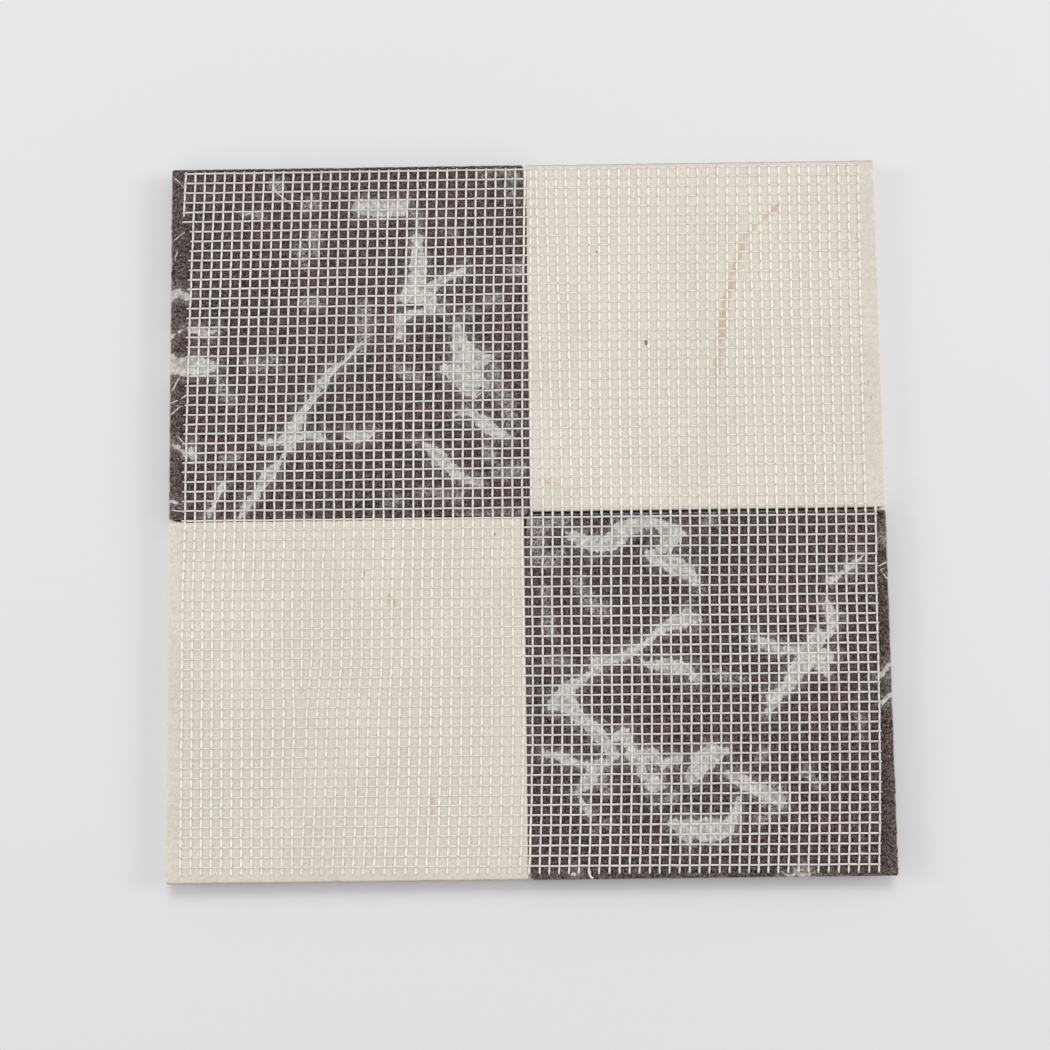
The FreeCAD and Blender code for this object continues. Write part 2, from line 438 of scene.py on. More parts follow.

# %% [markdown]
# ## Where the veins run
# Each vein is a chain of spots read off the photo: right, down and half its width, in millimetres.
# A chain given one spot at a time keeps the tile recognisable, and the shader's noise does the rest.

# %% Veins of the dark tiles
WHITE_VEINS = {
    "dark_tile_back_left": [
        [(80, 17.5, 2.4), (88, 19, 3.8), (98, 18.5, 4.2), (102, 16, 1.2)],
        [(106.5, 33, 2.2), (107, 42, 3.4), (106, 50, 3.2), (103, 57, 4.0), (98, 59, 1.6)],
        [(103, 57, 3.6), (110, 58, 4.0), (113.5, 62, 1.6)],
        [(111, 55, 2.6), (117, 51, 1.6), (124, 48, 2.2), (127, 45.5, 0.8)],
        [(116, 64, 0.7), (110, 64, 1.3), (104, 65, 1.4), (99, 68, 2.2), (98.5, 75, 1.2)],
        [(81, 79, 0.3), (75, 85, 0.5), (68, 91, 0.9), (64, 97, 1.8), (58, 105, 1.3), (54, 112, 2.0)],
        [(54, 112, 2.3), (51, 118, 2.8), (51.5, 122, 1.7), (47, 129, 0.9), (42, 134.5, 2.2)],
        [(42, 134.5, 2.2), (36, 143, 1.9), (32, 149, 1.5), (30, 154, 1.0)],
        [(38, 121.5, 0.4), (45, 121, 1.3), (52, 119.5, 1.6), (58, 118, 1.2), (64, 118.5, 2.4), (67.5, 120, 0.8)],
        [(75, 118, 1.0), (79, 119, 2.3), (84, 118.5, 1.4), (87, 117, 0.5)],
        [(123, 71, 1.0), (125, 79, 4.2), (127.5, 87, 6.2), (125, 93, 5.0), (129, 99, 3.6)],
        [(128, 86, 5.0), (134, 86, 2.6), (138.5, 85, 0.7)],
        [(126, 91, 4.2), (117, 90, 1.3)],
        [(130, 94, 4.0), (135, 97, 1.8)],
        [(122, 110, 0.5), (128, 108.5, 1.3), (134, 113, 2.4), (139, 117, 2.8), (146, 119.5, 0.8)],
        [(104, 121, 0.5), (110, 123, 1.6), (115, 128.5, 3.5), (119, 132, 2.6), (125, 137.5, 1.4), (132, 139.5, 1.2)],
        [(-2, 88, 3.6), (8, 87, 4.2), (14, 88, 3.4), (18.5, 88, 1.6)],
        [(6.9, 71.4, 0.9), (10, 72.5, 1.2), (14, 73, 1.5), (19, 71.5, 0.7)],
        [(8.5, 125, 1.6), (9.5, 121.5, 0.8)],
        [(22.5, 138, 0.9), (20, 145, 0.8), (16.5, 151, 0.8)],
        [(145.5, 8, 0.6), (147.5, 11, 0.8), (149.5, 15, 0.9)],
        [(-2, 57.5, 1.2), (0.2, 56.4, 1.3), (1.8, 54.8, 1.4), (3.9, 55.4, 1.1), (6.7, 57.6, 0.7)],
        [(-2, 75.5, 1.1), (-0.2, 74, 1.1), (2, 72.4, 1.0), (4.7, 70.8, 1.0), (6.9, 71.4, 0.7)],
        [(-2, 121.9, 1.1), (2, 121.9, 1.1), (4.2, 123.6, 1.0), (6.4, 125.8, 0.9), (10.2, 126.3, 0.9)],
        [(-2, 145.3, 0.8), (2.9, 146.1, 0.7)],
        [(-2, 82, 1.1), (2, 84, 1.3), (4.8, 85, 1.2)],
    ],
    "dark_tile_front_right": [
        [(172, 163, 2.0), (180, 166, 3.4), (188, 165, 3.4), (195, 160, 4.0), (202, 156.5, 2.2), (209, 157.5, 2.6)],
        [(209, 157.5, 2.6), (214, 162, 4.2), (219.5, 162, 1.4)],
        [(214, 164, 3.4), (211, 169, 1.6), (204, 171, 1.8), (208, 174, 2.6), (215, 176, 3.4), (221, 179, 3.4), (225, 184, 1.2)],
        [(219.5, 194.5, 1.2), (221, 198, 3.0), (226, 198.5, 0.7)],
        [(220, 198.5, 2.8), (214, 200, 2.2), (208, 202.5, 1.7), (204, 206.5, 1.1), (199, 210.5, 1.4), (193, 213.5, 1.8)],
        [(193, 213.5, 1.8), (182, 215.5, 1.8), (179.5, 221, 1.8), (172, 224, 2.3), (166, 229, 2.6), (162, 233, 1.8)],
        [(199, 213, 0.9), (202, 217, 1.3), (207, 217.5, 2.8), (213, 218, 3.3), (219, 220, 2.8), (223, 223, 1.6)],
        [(163, 233, 2.2), (169, 232, 4.2), (173, 238, 3.0), (179, 243, 3.2), (184, 249, 2.2), (187.5, 254, 1.7)],
        [(186.5, 246, 0.8), (192, 246, 2.2), (195, 251, 1.7), (197, 256, 3.4), (203, 254, 3.2), (208, 258, 2.4), (215.5, 256, 1.6)],
        [(198, 258, 2.2), (200, 263, 1.4), (203.5, 266.5, 3.0), (208, 268, 1.4)],
        [(158, 253, 0.6), (165, 254, 1.7), (170, 257, 1.7), (177, 258.5, 2.0), (185, 257, 1.2)],
        [(181, 258, 1.6), (178, 263, 3.4), (176, 267, 2.4), (171.5, 269, 1.0), (174.5, 274, 1.2), (177, 279, 0.6)],
        [(219.5, 264, 2.4), (224, 258, 4.3), (229, 254, 4.3), (234.5, 253.5, 1.8)],
        [(235, 262.5, 1.4), (243, 267, 2.3), (251, 270, 2.4), (257, 274, 2.4), (257.5, 278, 1.0)],
        [(211, 282.5, 1.2), (217, 285, 4.0), (227, 285.5, 4.4), (234, 285, 3.6), (238, 279, 1.2), (239.5, 273, 0.9)],
        [(218, 287, 3.0), (218.5, 291.5, 0.9)],
        [(247.5, 206, 0.9), (252, 209, 2.6), (259, 212, 1.8), (266, 212.5, 1.6)],
        [(279, 193, 1.3), (282, 199, 2.8), (281, 204, 1.8), (276, 207, 3.2), (272, 213, 4.8), (277, 215, 4.4)],
        [(272, 213, 4.6), (267, 219, 3.8), (262, 226, 2.8), (256, 232, 3.2), (252.5, 236.5, 1.6)],
        [(276, 217, 3.6), (278.5, 222, 1.3)],
        [(281.5, 182.5, 1.3), (286, 180, 0.7), (290, 177, 0.5), (295.5, 173, 0.7)],
        [(300, 234, 0.6), (307, 230, 0.8)],
        [(259.3, 304.2, 0.3), (260.7, 304.2, 0.4), (262.4, 303.1, 0.5), (261.5, 301.8, 0.6)],
        [(264.7, 304.1, 0.7), (267.3, 304.2, 0.7)],
        [(169.8, 302.0, 0.3), (170.1, 302.7, 0.3)],
        [(171.2, 302.0, 0.3), (170.9, 302.7, 0.3)],
        [(300, 223.7, 0.8), (302.8, 221, 0.9), (307, 216.5, 0.9)],
    ],
}
print("white veins", {name: len(veins) for name, veins in WHITE_VEINS.items()})

# %% Pale clouds of the dark tiles, and the marks on the cream ones
PALE_CLOUDS = {
    "dark_tile_back_left": [
        [(83, 63, 1.6), (84, 71, 3.4), (82, 78, 1.4)],
        [(89, 69, 1.0), (86.5, 75, 1.0)],
        [(32, 86, 1.2), (38, 88.5, 2.4), (43, 85, 1.4), (45, 88, 0.8)],
        [(61, 29, 0.8), (61.5, 37, 1.2)],
        [(55, 37, 2.4), (57, 43, 0.8)],
        [(107, 21, 1.6), (107, 27, 0.9)],
        [(118, 28, 0.8), (122, 30, 0.6)],
        [(136, 126, 1.0), (137, 128, 1.0)],
        [(140, 136, 1.0), (146, 135, 2.0), (151, 133, 2.4)],
        [(147, 47, 1.2), (153, 46, 1.4)],
        [(138, 60, 0.8), (141, 59.5, 1.2)],
        [(125, 65, 0.8), (129, 65.5, 1.2)],
        [(31, 20.5, 0.6), (37, 21, 0.9)],
        [(57, 17.5, 1.4), (64, 17.5, 1.0)],
        [(56, 60, 0.8), (60, 60, 1.6), (63.5, 61.5, 0.8)],
        [(97, 89, 0.8), (102, 91.5, 1.2), (107, 95, 1.0)],
        [(20.5, 94.5, 0.9), (22.5, 98.5, 1.8), (25.5, 102, 0.8)],
        [(45, 8, 2.0), (47, 6, 1.0)],
        [(136, 4, 1.0), (144, 3, 1.6), (150, 6, 1.2)],
        [(92, 149, 1.2), (97, 146.5, 1.0)],
        [(124, 153.5, 0.7), (150, 153.5, 0.8)],
        [(22, 128, 1.0), (27, 127, 1.4)],
        [(108, 142, 1.0), (122, 145, 1.4)],
        [(140, 92, 2.4), (146, 112, 2.0)],
    ],
    "dark_tile_front_right": [
        [(156, 164, 3.2), (158, 158, 1.6)],
        [(154.5, 157, 1.6), (161, 158, 1.4), (167, 156.5, 0.8)],
        [(155, 168, 1.8), (157, 173, 2.0), (164, 172, 1.8), (167, 170, 0.9)],
        [(174, 182, 1.6), (176, 188, 1.6), (184, 194, 2.6)],
        [(160, 186, 1.0), (162, 204, 1.2)],
        [(232, 220, 1.0), (237, 223, 2.0), (243, 224, 0.8)],
        [(182, 262, 2.4), (184, 270, 0.8)],
        [(179, 285, 0.8), (184, 282, 1.2)],
        [(250, 256, 1.2), (252, 254, 0.6)],
        [(268, 262, 1.0), (273, 266, 1.2)],
        [(248, 282, 1.0), (252, 281, 0.6)],
        [(161, 216, 0.8), (168, 215, 1.6)],
        [(202, 258, 3.6), (206, 266, 2.2)],
        [(228, 157, 0.8), (232, 156, 0.8)],
        [(291, 240, 0.4), (292, 248, 0.4)],
        [(254, 271, 4.2), (259, 276, 1.6)],
        [(303, 161.7, 0.9), (303.9, 165.9, 0.9)],
        [(265.7, 302.7, 0.6), (266.3, 303.5, 0.6)],
        [(212, 272, 1.2), (204, 275, 1.0)],
    ],
    "cream_tile_back_right": [
        [(263.0, 21.5, 1.2), (257.5, 26.0, 0.8), (249.7, 31.5, 0.8), (245.4, 43.8, 1.0), (239.6, 63.6, 1.3), (237.0, 78.9, 1.3), (235.3, 94.1, 1.0)],
        [(158, 138, 0.2), (164, 141, 0.8)],
    ],
    "cream_tile_front_left": [
        [(94.0, 187.0, 0.9), (94.6, 189.6, 1.1)],
        [(110.8, 270.0, 0.8), (110.8, 276.0, 1.3)],
    ],
}
PORES = {
    "cream_tile_back_right": [
        [(204.8, 79.2, 0.8), (205.4, 80.2, 0.8)],
        [(300, 96, 0.1), (301.5, 106, 0.12)],
        [(298.5, 112, 0.1), (303, 115, 0.12)],
        [(184.2, 38.8, 0.35), (184.4, 39.9, 0.35)],
    ],
    "cream_tile_front_left": [
        [(82.2, 176.9, 0.9), (82.5, 177.5, 0.8)],
        [(138.4, 160.8, 0.3), (138.6, 161.6, 0.35)],
        [(94.3, 185.8, 0.2), (94.8, 186.3, 0.2)],
    ],
}
print("clouds", sum(len(marks) for marks in PALE_CLOUDS.values()), "pores", sum(len(m) for m in PORES.values()))


# %% Thin white lines in the dark tiles, and scratches on their rims
WHITE_LINES = {
    "dark_tile_back_left": [
        [(86, 74.5), (80, 79.5), (75, 86), (70, 90), (66, 95)],
        [(70.5, 88.5), (66, 98.5), (62, 102), (59, 106.5), (54, 111.5), (52, 115)],
        [(53, 119.5), (48, 126), (45.5, 131), (43.5, 136.5), (41, 139.5), (37, 142), (33, 149)],
        [(33, 121), (37, 121), (42, 121.5), (45, 120), (49.5, 117)],
        [(53.5, 116), (56.5, 117), (56.5, 119.5), (53.5, 121)],
        [(58, 121), (63, 120)],
        [(22, 138.5), (20, 146), (17.5, 148.5)],
        [(43, 8.5), (45, 11.5), (48, 13.5), (51, 16)],
        [(0, 103), (2.5, 102), (6, 100)],
        [(0, 97.5), (1.5, 95), (3, 92.5), (4, 90.5)],
        [(0, 108), (3.5, 105)],
        [(2.5, 117.5), (4.5, 119.5)],
        [(1.5, 149.5), (5, 150)],
        [(0.5, 4.5), (4, 8)],
        [(0.5, 31.5), (4, 28.5)],
        [(0.5, 39.5), (1.5, 37)],
        [(31, 21), (33, 20)],
        [(36, 20.5), (37, 22)],
        [(131, 102.5), (133, 100.5)],
        [(85, 119), (86.5, 117.5)],
    ],
    "dark_tile_front_right": [
        [(201.5, 207.5), (205, 205), (208.5, 202)],
        [(184.5, 240.5), (187, 243.5)],
        [(193, 248), (194, 250.5)],
        [(174.5, 273.5), (177, 275.5)],
        [(217, 290.5), (218.5, 289.5)],
        [(254.9, 303.4), (255.9, 301.7), (257.7, 303.7), (259.3, 304.2)],
        [(263.2, 302.2), (264.2, 301.8)],
        [(288.5, 179), (291, 177), (293.5, 174), (295.5, 172.5)],
        [(302, 177), (305, 175.5)],
        [(302.5, 178.5), (305, 182)],
        [(301, 235), (303, 233), (305, 230.5)],
    ],
}
print("white lines", {name: len(lines) for name, lines in WHITE_LINES.items()})

# %% [markdown]
# ## How far a point is from a chain
# The distance to each link of a chain is an old sum: drop the point onto the link, stay between
# its ends, and measure. The chain's half width is taken off, so the number is below zero inside.


# %% Distance to the marks
FAR = 30.0


def depth_in_marks(points, marks):
    """For each (x, y) point, its distance outside the nearest mark, in millimetres."""
    nearest = np.full(len(points), FAR)
    for chain in marks:
        spots = [(*on_sheet(right, down), half) for right, down, half in chain]
        for (ax, ay, a_half), (bx, by, b_half) in zip(spots, spots[1:]):
            start = np.array([ax, ay])
            link = np.array([bx - ax, by - ay])
            share = np.clip((points - start) @ link / (link @ link), 0, 1)
            gap = np.linalg.norm(points - start - share[:, None] * link, axis=1)
            nearest = np.minimum(nearest, gap - (a_half + (b_half - a_half) * share))
    return nearest


LINE_REACH = 1.7


def offset_from_lines(points, lines):
    """The signed distance of each point to the nearest line, or FAR well away from all of them."""
    nearest = np.full(len(points), FAR)
    for chain in lines:
        spots = [np.array(on_sheet(right, down)) for right, down in chain]
        for start, end in zip(spots, spots[1:]):
            link = end - start
            away = points - start
            share = np.clip(away @ link / (link @ link), 0, 1)
            gap = np.linalg.norm(away - share[:, None] * link, axis=1)
            side = np.where(away[:, 0] * link[1] > away[:, 1] * link[0], 1.0, -1.0)
            closer = (gap < LINE_REACH) & (gap < np.abs(nearest))
            nearest = np.where(closer, gap * side, nearest)
    return nearest


print("a test point", depth_in_marks(np.array([on_sheet(88, 19)]), WHITE_VEINS["dark_tile_back_left"]))


# %% [markdown]
# ## A tile
# A sawn tile could be a bevelled box, but its arrises are worn and chipped, and the veins need
# many points to ride on. So it starts as two flat grids, back and finished face, whose outer
# rows are crowded towards the rim. The grids are bridged into a closed block, and then the rim
# rows are rounded over and nibbled.


# %% Tile block
CORNER_RADIUS = 1.4
BACK_ROUNDING = 0.7
FINISHED_ROUNDING = 1.0
RIM_ROWS = (0.0, 0.1, 0.3, 0.6, 1.0, 1.5)
STATION_SPACING = {"dark": 1.05, "cream": 1.1}
SIDE_CUTS = 4


def stations(side, spacing):
    """Places along one side of a tile, crowded towards both ends."""
    inner = side - 2 * RIM_ROWS[-1]
    count = int(round(inner / spacing))
    middle = np.linspace(-inner / 2, inner / 2, count + 1)
    rim = side / 2 - np.array(RIM_ROWS[:-1])
    return np.concatenate([-rim, middle, rim[::-1]])


def add_panel(bm, places, z, faces_down):
    """A flat square grid with its rows at these places."""
    count = len(places) - 1
    made = bmesh.ops.create_grid(bm, x_segments=count, y_segments=count, size=0.5)
    for vert in made["verts"]:
        column = round((vert.co.x + 0.5) * count)
        row = round((vert.co.y + 0.5) * count)
        vert.co = (places[column], places[row], z)
    faces = list({face for vert in made["verts"] for face in vert.link_faces})
    if faces_down:
        bmesh.ops.reverse_faces(bm, faces=faces)
    return [edge for face in faces for edge in face.edges if edge.is_boundary]


def tile_block(side, spacing):
    """A closed block of one tile in millimetres, centred on x and y, not yet rounded."""
    places = stations(side, spacing)
    bm = bmesh.new()
    top_rim = add_panel(bm, places, TILE_TOP, False)
    low_rim = add_panel(bm, places, 0.0, True)
    walls = bmesh.ops.bridge_loops(bm, edges=list(set(top_rim + low_rim)))
    uprights = [edge for face in walls["faces"] for edge in face.edges
                if abs(edge.verts[0].co.z - edge.verts[1].co.z) > TILE_TOP / 2]
    bmesh.ops.subdivide_edges(bm, edges=list(set(uprights)), cuts=SIDE_CUTS)
    return bm


test_block = tile_block(20.0, 2.0)
print("a 20 mm test block:", len(test_block.verts), "points,", len(test_block.faces), "faces")
test_block.free()


# %% [markdown]
# ## Rounding, wear and chips
# Every point knows how far in from the outline it is. Within the rounding it is let down along
# a quarter circle, and a little noise along the rim takes off crumbs of stone,
# more at the corners, as on any tile that has been shaken in a box.


# %% Shape and mark a tile
CRUMB_SIZE = 2.6
CRUMB_DEPTH = 0.30


def round_corners(flat, half):
    """Turn the square corners of a plan into quarter circles, and measure in from the outline."""
    inward = half - np.abs(flat)
    corner = np.clip(CORNER_RADIUS - inward, 0, None)
    reach = corner.max(axis=1)
    length = np.maximum(np.linalg.norm(corner, axis=1), 1e-9)
    both = corner.min(axis=1) > 0
    shrink = np.where(both, reach / length, 1.0)[:, None]
    core = half - CORNER_RADIUS
    rounded = np.where(both[:, None], np.sign(flat) * (core + corner * shrink), flat)
    return rounded, inward.min(axis=1)


def let_down(depth, rounding):
    """How much lower than the face a point is, at this depth in from the outline."""
    short = np.clip(rounding - depth, 0, rounding)
    return rounding - np.sqrt(rounding ** 2 - short ** 2)


def crumbs(points, rim):
    """How much wear takes off at each point: only near an arris, and in uneven crumbs."""
    worn = np.zeros(len(points))
    for index in np.nonzero(rim < 1.2)[0]:
        spot = Vector(points[index]) / CRUMB_SIZE
        coarse = noise.fractal(spot, 1.0, 2.0, 3)
        rare = max(0.0, noise.noise(spot * 0.35 + Vector((31, 7, 3))) - 0.28)
        worn[index] = CRUMB_DEPTH * (max(0.0, coarse + 0.12) + 3.2 * rare) * (1.2 - rim[index]) / 1.2
    return worn


def add_number(mesh, name, values):
    attribute = mesh.attributes.new(name, "FLOAT", "POINT")
    attribute.data.foreach_set("value", np.asarray(values, np.float32))


def counts_at(points):
    """Which warp and which weft each point lies at, as fractions that are whole on a thread."""
    x, y = points[:, 0], points[:, 1]
    numbers = np.arange(-3, WARPS + 4, dtype=float)
    warp = np.zeros(len(points))
    for low in range(0, len(points), 4000):
        part = slice(low, low + 4000)
        lines = warp_x(numbers[None, :], y[part, None])
        before = np.clip((lines < x[part, None]).sum(axis=1) - 1, 0, len(numbers) - 2)
        rows = np.arange(len(before))
        left, right = lines[rows, before], lines[rows, before + 1]
        warp[part] = numbers[before] + (x[part] - left) / (right - left)
    weft = (SHEET_HIGH - y) / WEFT_SPACING
    for _ in range(2):
        weft = weft + (weft_y(weft, x) - y) / WEFT_SPACING
    return warp, weft


def shape_tile(piece, node, half, centre):
    """Round, wear and place a tile block, and write its marks on it."""
    mesh = piece.data
    co = np.empty(len(mesh.vertices) * 3)
    mesh.vertices.foreach_get("co", co)
    co = co.reshape(-1, 3)
    flat, inward = round_corners(co[:, :2], half)
    upper = co[:, 2] > TILE_TOP - 0.01
    lower = co[:, 2] < 0.01
    z = co[:, 2].copy()
    z[upper] = TILE_TOP - let_down(inward[upper], BACK_ROUNDING)
    z[lower] = let_down(inward[lower], FINISHED_ROUNDING)
    wall = ~(upper | lower)
    share = z[wall] / TILE_TOP
    z[wall] = FINISHED_ROUNDING + share * (TILE_TOP - FINISHED_ROUNDING - BACK_ROUNDING)
    placed = np.column_stack([flat + centre[:2], z])
    to_face = np.minimum(TILE_TOP - z, z)
    rim = np.where(wall, to_face, np.maximum(inward, to_face))
    worn = crumbs(placed, rim)
    outward = flat / np.maximum(np.abs(flat).max(axis=1), 1e-9)[:, None]
    placed[:, :2] -= outward * worn[:, None] * (inward < 1.2)[:, None]
    placed[:, 2] -= np.where(upper, worn * 0.8, np.where(lower, -worn * 0.4, 0.0))
    mesh.vertices.foreach_set("co", (placed * MM).ravel())
    through = placed[:, :2] + (TILE_TOP - z)[:, None] * np.array([0.22, -0.14])
    add_number(mesh, "vein", depth_in_marks(through, WHITE_VEINS.get(node, []) + PORES.get(node, [])))
    add_number(mesh, "haze", depth_in_marks(through, PALE_CLOUDS[node]))
    add_number(mesh, "hair", offset_from_lines(through, WHITE_LINES.get(node, [])))
    add_number(mesh, "rim", rim)
    warp, weft = counts_at(placed)
    add_number(mesh, "warp_count", warp)
    add_number(mesh, "weft_count", weft)
    in_net = smooth(warp, -1.0, -0.4) * smooth(WARPS - 1 - warp, -1.0, -0.4)
    in_net *= smooth(weft, -0.8, -0.3) * smooth(WEFTS - 1 - weft, -0.9, -0.4)
    add_number(mesh, "netted", in_net * smooth(z, TILE_TOP - 1.0, TILE_TOP - 0.2))


def add_tile(node, kind):
    low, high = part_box(node)
    side = (high.x - low.x) / MM
    centre = np.array((low + high) / 2) / MM
    bm = tile_block(side, STATION_SPACING[kind])
    mesh = bpy.data.meshes.new("stone_" + node)
    bm.to_mesh(mesh)
    bm.free()
    piece = bpy.data.objects.new("stone_" + node, mesh)
    bpy.context.scene.collection.objects.link(piece)
    shape_tile(piece, node, side / 2, centre)
    mesh.materials.append(STONE[kind])
    mesh.shade_smooth()
    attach(piece, "root")
    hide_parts(node)
    return piece


tiles = [add_tile(node, kind) for kind, nodes in TILES.items() for node in nodes]
for piece in tiles:
    print(piece.name, "faces", len(piece.data.polygons), "size", [round(v / MM, 2) for v in piece.dimensions])

# %% [markdown]
# ## The finish of the net
# The net is glass yarn dipped in a white resin. Where the threads lie free they are bright.
# At a crossing the glue has soaked in, and the yarn turns grey-green and shows the stone a little.
# The wefts are flatter than the warps. The warps are whiter than the wefts all the way, partly the yarn's own colour
# and partly a painted highlight where the side lights catch them.


# %% Net finish
def net_finish():
    yarn = Finish("glass_fibre")
    weft = yarn.attribute("weft")
    tone = yarn.attribute("tone")
    on_cream = yarn.attribute("on_cream")
    patches = yarn.cloud(9, 3.0).rise(0.36, 0.64)
    mixed = tone * 0.55 + patches * 0.45
    # Warp colour: the yarn's white with a painted highlight from the side lights, whiter still on the cream tiles.
    warp_white_and_highlight = yarn.mix(mixed, colour(229, 226, 222), colour(246, 242, 238))
    warp_white_and_highlight = yarn.mix(on_cream, warp_white_and_highlight, yarn.mix(mixed, colour(248, 242, 231), colour(255, 254, 249)))
    dull = yarn.mix(mixed, colour(212, 209, 204), colour(237, 233, 228))
    dull = yarn.mix(on_cream, dull, yarn.mix(mixed, colour(230, 222, 210), colour(240, 233, 222)))
    soaked = yarn.mix(mixed, colour(180, 185, 180), colour(204, 206, 200))
    soaked = yarn.mix(on_cream, soaked, colour(210, 202, 189))
    wet = yarn.attribute("crossing").rise(0.66, 0.96) * (0.6 + patches * 0.4)
    shade = yarn.mix(wet * (1.0 - weft * 0.4), yarn.mix(weft, warp_white_and_highlight, dull), soaked)
    fibres = yarn.cloud(0.18, 2.0)
    shade = yarn.mix(1.0, shade, yarn.grey(0.93 + fibres * 0.14), "MULTIPLY")
    return yarn.set(Base_Color=shade, Roughness=0.5 - wet * 0.15, Normal=yarn.bump(fibres, 0.2))


NET = net_finish()
print("net material", NET.name)

# %% [markdown]
# ## One length of thread
# Thousands of crossings would take for ever one by one. Instead one straight tube is made,
# a ring of points that `spin` carries along without turning, and it is copied as often as
# a patch of net has threads. Each copy's points are then moved onto its own path.


# %% Straight tube
def straight_tube(sides, rings):
    """A closed tube of unit radius along z, with one ring for each whole number."""
    bm = bmesh.new()
    start = bmesh.ops.create_circle(bm, cap_ends=True, radius=1.0, segments=sides)
    bmesh.ops.spin(bm, geom=start["verts"] + bm.edges[:] + bm.faces[:], cent=(0, 0, 0), axis=(0, 0, 1),
                   dvec=(0, 0, 1), angle=0.0, steps=rings, use_merge=False, use_duplicate=False)
    bmesh.ops.recalc_face_normals(bm, faces=bm.faces[:])
    mesh = bpy.data.meshes.new("tube")
    bm.to_mesh(mesh)
    bm.free()
    return mesh


test_tube = straight_tube(5, 8)
print("a test tube:", len(test_tube.vertices), "points,", len(test_tube.polygons), "faces")
bpy.data.meshes.remove(test_tube)


# %% [markdown]
# ## Warps and wefts
# A warp is a pair of yarns. Between two wefts they lie side by side on the stone. At each weft
# one goes over it and the other under it, and they change sides from one weft to the next.
# That is a leno weave, and it is why such a net does not slide apart.
# All of it is in the formulas for the centre of each yarn.
# The glue stands thicker on the cream tiles, so there the wefts lie deeper in it.


# %% Thread shapes
YARN_HALF_WIDTH = 0.27
YARN_HALF_HEIGHT = 0.15
PAIR_OFFSET = 0.21
YARN_REST = 0.12
UPPER_LIFT = 0.46
LOWER_SINK = 0.02
WEFT_HALF_WIDTH = 0.42
WEFT_HALF_HEIGHT = 0.08
WEFT_REST = -0.02
WEFT_LIFT = 0.16


def over_cream(x, y):
    """1 over the cream tiles and 0 over the dark ones."""
    return smooth(x * y, -20.0, 20.0)


def at_crossing(count):
    """1 on a crossing and 0 half way between two."""
    return 0.5 + 0.5 * np.cos(2 * math.pi * count)


def warp_yarn(number, upper, count):
    """Centre and half sizes of one yarn of a warp pair, at these weft counts."""
    y = weft_y(count, warp_x(number, SHEET_HIGH - count * WEFT_SPACING))
    side = 1 if (upper == bool(number % 2)) else -1
    swing = side * PAIR_OFFSET * np.sin(math.pi * count)
    x = warp_x(number, y) + 0.10 * wave(y, 23.0, number) + swing
    close = at_crossing(count)
    z = TILE_TOP + YARN_REST + close * (UPPER_LIFT if upper else -LOWER_SINK)
    width = YARN_HALF_WIDTH * (1 + 0.12 * wave(y, 9.0, number + 3.3) + 0.2 * over_cream(x, y))
    return x, y, z, width, np.full_like(x, YARN_HALF_HEIGHT), close


def weft_yarn(number, count):
    """Centre and half sizes of a weft, at these warp counts."""
    x = warp_x(count, SHEET_HIGH - number * WEFT_SPACING)
    y = weft_y(number, x) + 0.09 * wave(x, 27.0, number + 0.5)
    close = at_crossing(count)
    sunk = over_cream(x, y)
    z = TILE_TOP + WEFT_REST + WEFT_LIFT * close * (1 - 0.45 * sunk) - 0.015 * sunk
    width = WEFT_HALF_WIDTH * (1 + 0.16 * close + 0.10 * wave(x, 12.0, number))
    return x, y, z, width, WEFT_HALF_HEIGHT * (1 - 0.3 * sunk), close


print("upper yarn reaches", YARN_REST + UPPER_LIFT + YARN_HALF_HEIGHT, "of", round(NET_TOP - TILE_TOP, 2))

# %% [markdown]
# ## Patches of net
# The net is made in the same sixteen patches as in the solid model, so each patch stands for
# its own part there. Threads meet face to face on the lines between patches.
# Beyond the outermost threads the ends are cut short and fray a little.

# %% Patch builder
PATCH_STEPS = 4
YARN_SIDES = 5
YARN_RINGS = 4
WEFT_SIDES = 6
WEFT_RINGS = 3
LAST_WARP = WARPS - 1
WARP_CUTS = [-1.5] + [round(WARPS * step / PATCH_STEPS) - 0.5 for step in range(1, PATCH_STEPS + 1)]
WEFT_CUTS = [round(WEFTS * step / PATCH_STEPS) - 0.5 for step in range(PATCH_STEPS + 1)]
BACK_TAIL = 0.17
FRONT_TAIL = 0.80
LEFT_TAIL = 0.36
RIGHT_TAIL = 0.17


def lay_thread(tube, low, high, path, taper_low, taper_high):
    """The points of a tube moved onto a path from one count to another."""
    rings = tube[:, 2].max()
    share = tube[:, 2] / rings
    count = low + (high - low) * share
    x, y, z, width, height, close = path(count)
    step = 0.02
    ahead = path(count + step)
    run = np.column_stack([ahead[0] - x, ahead[1] - y])
    run /= np.linalg.norm(run, axis=1)[:, None]
    thin = np.ones(len(tube))
    if taper_low:
        thin *= 0.7 + 0.3 * smooth(share * rings, 0.0, 1.0)
    if taper_high:
        thin *= 0.7 + 0.3 * smooth((1 - share) * rings, 0.0, 1.0)
    sideways = tube[:, 0] * width * thin
    points = np.column_stack([x + run[:, 1] * sideways, y - run[:, 0] * sideways, z + tube[:, 1] * height * thin])
    return points, close


def tube_points(mesh):
    co = np.empty(len(mesh.vertices) * 3)
    mesh.vertices.foreach_get("co", co)
    return co.reshape(-1, 3)


def inside_count(number, low, high):
    """The part of a warp's run, as weft counts, in which it is not broken off."""
    if number not in BROKEN_WARPS:
        return low, high
    first, last = [(down - MEAN_LEVEL) / WEFT_SPACING for down in BROKEN_WARPS[number]]
    low, high = max(low, first), min(high, last)
    return (low, high) if high > low else None


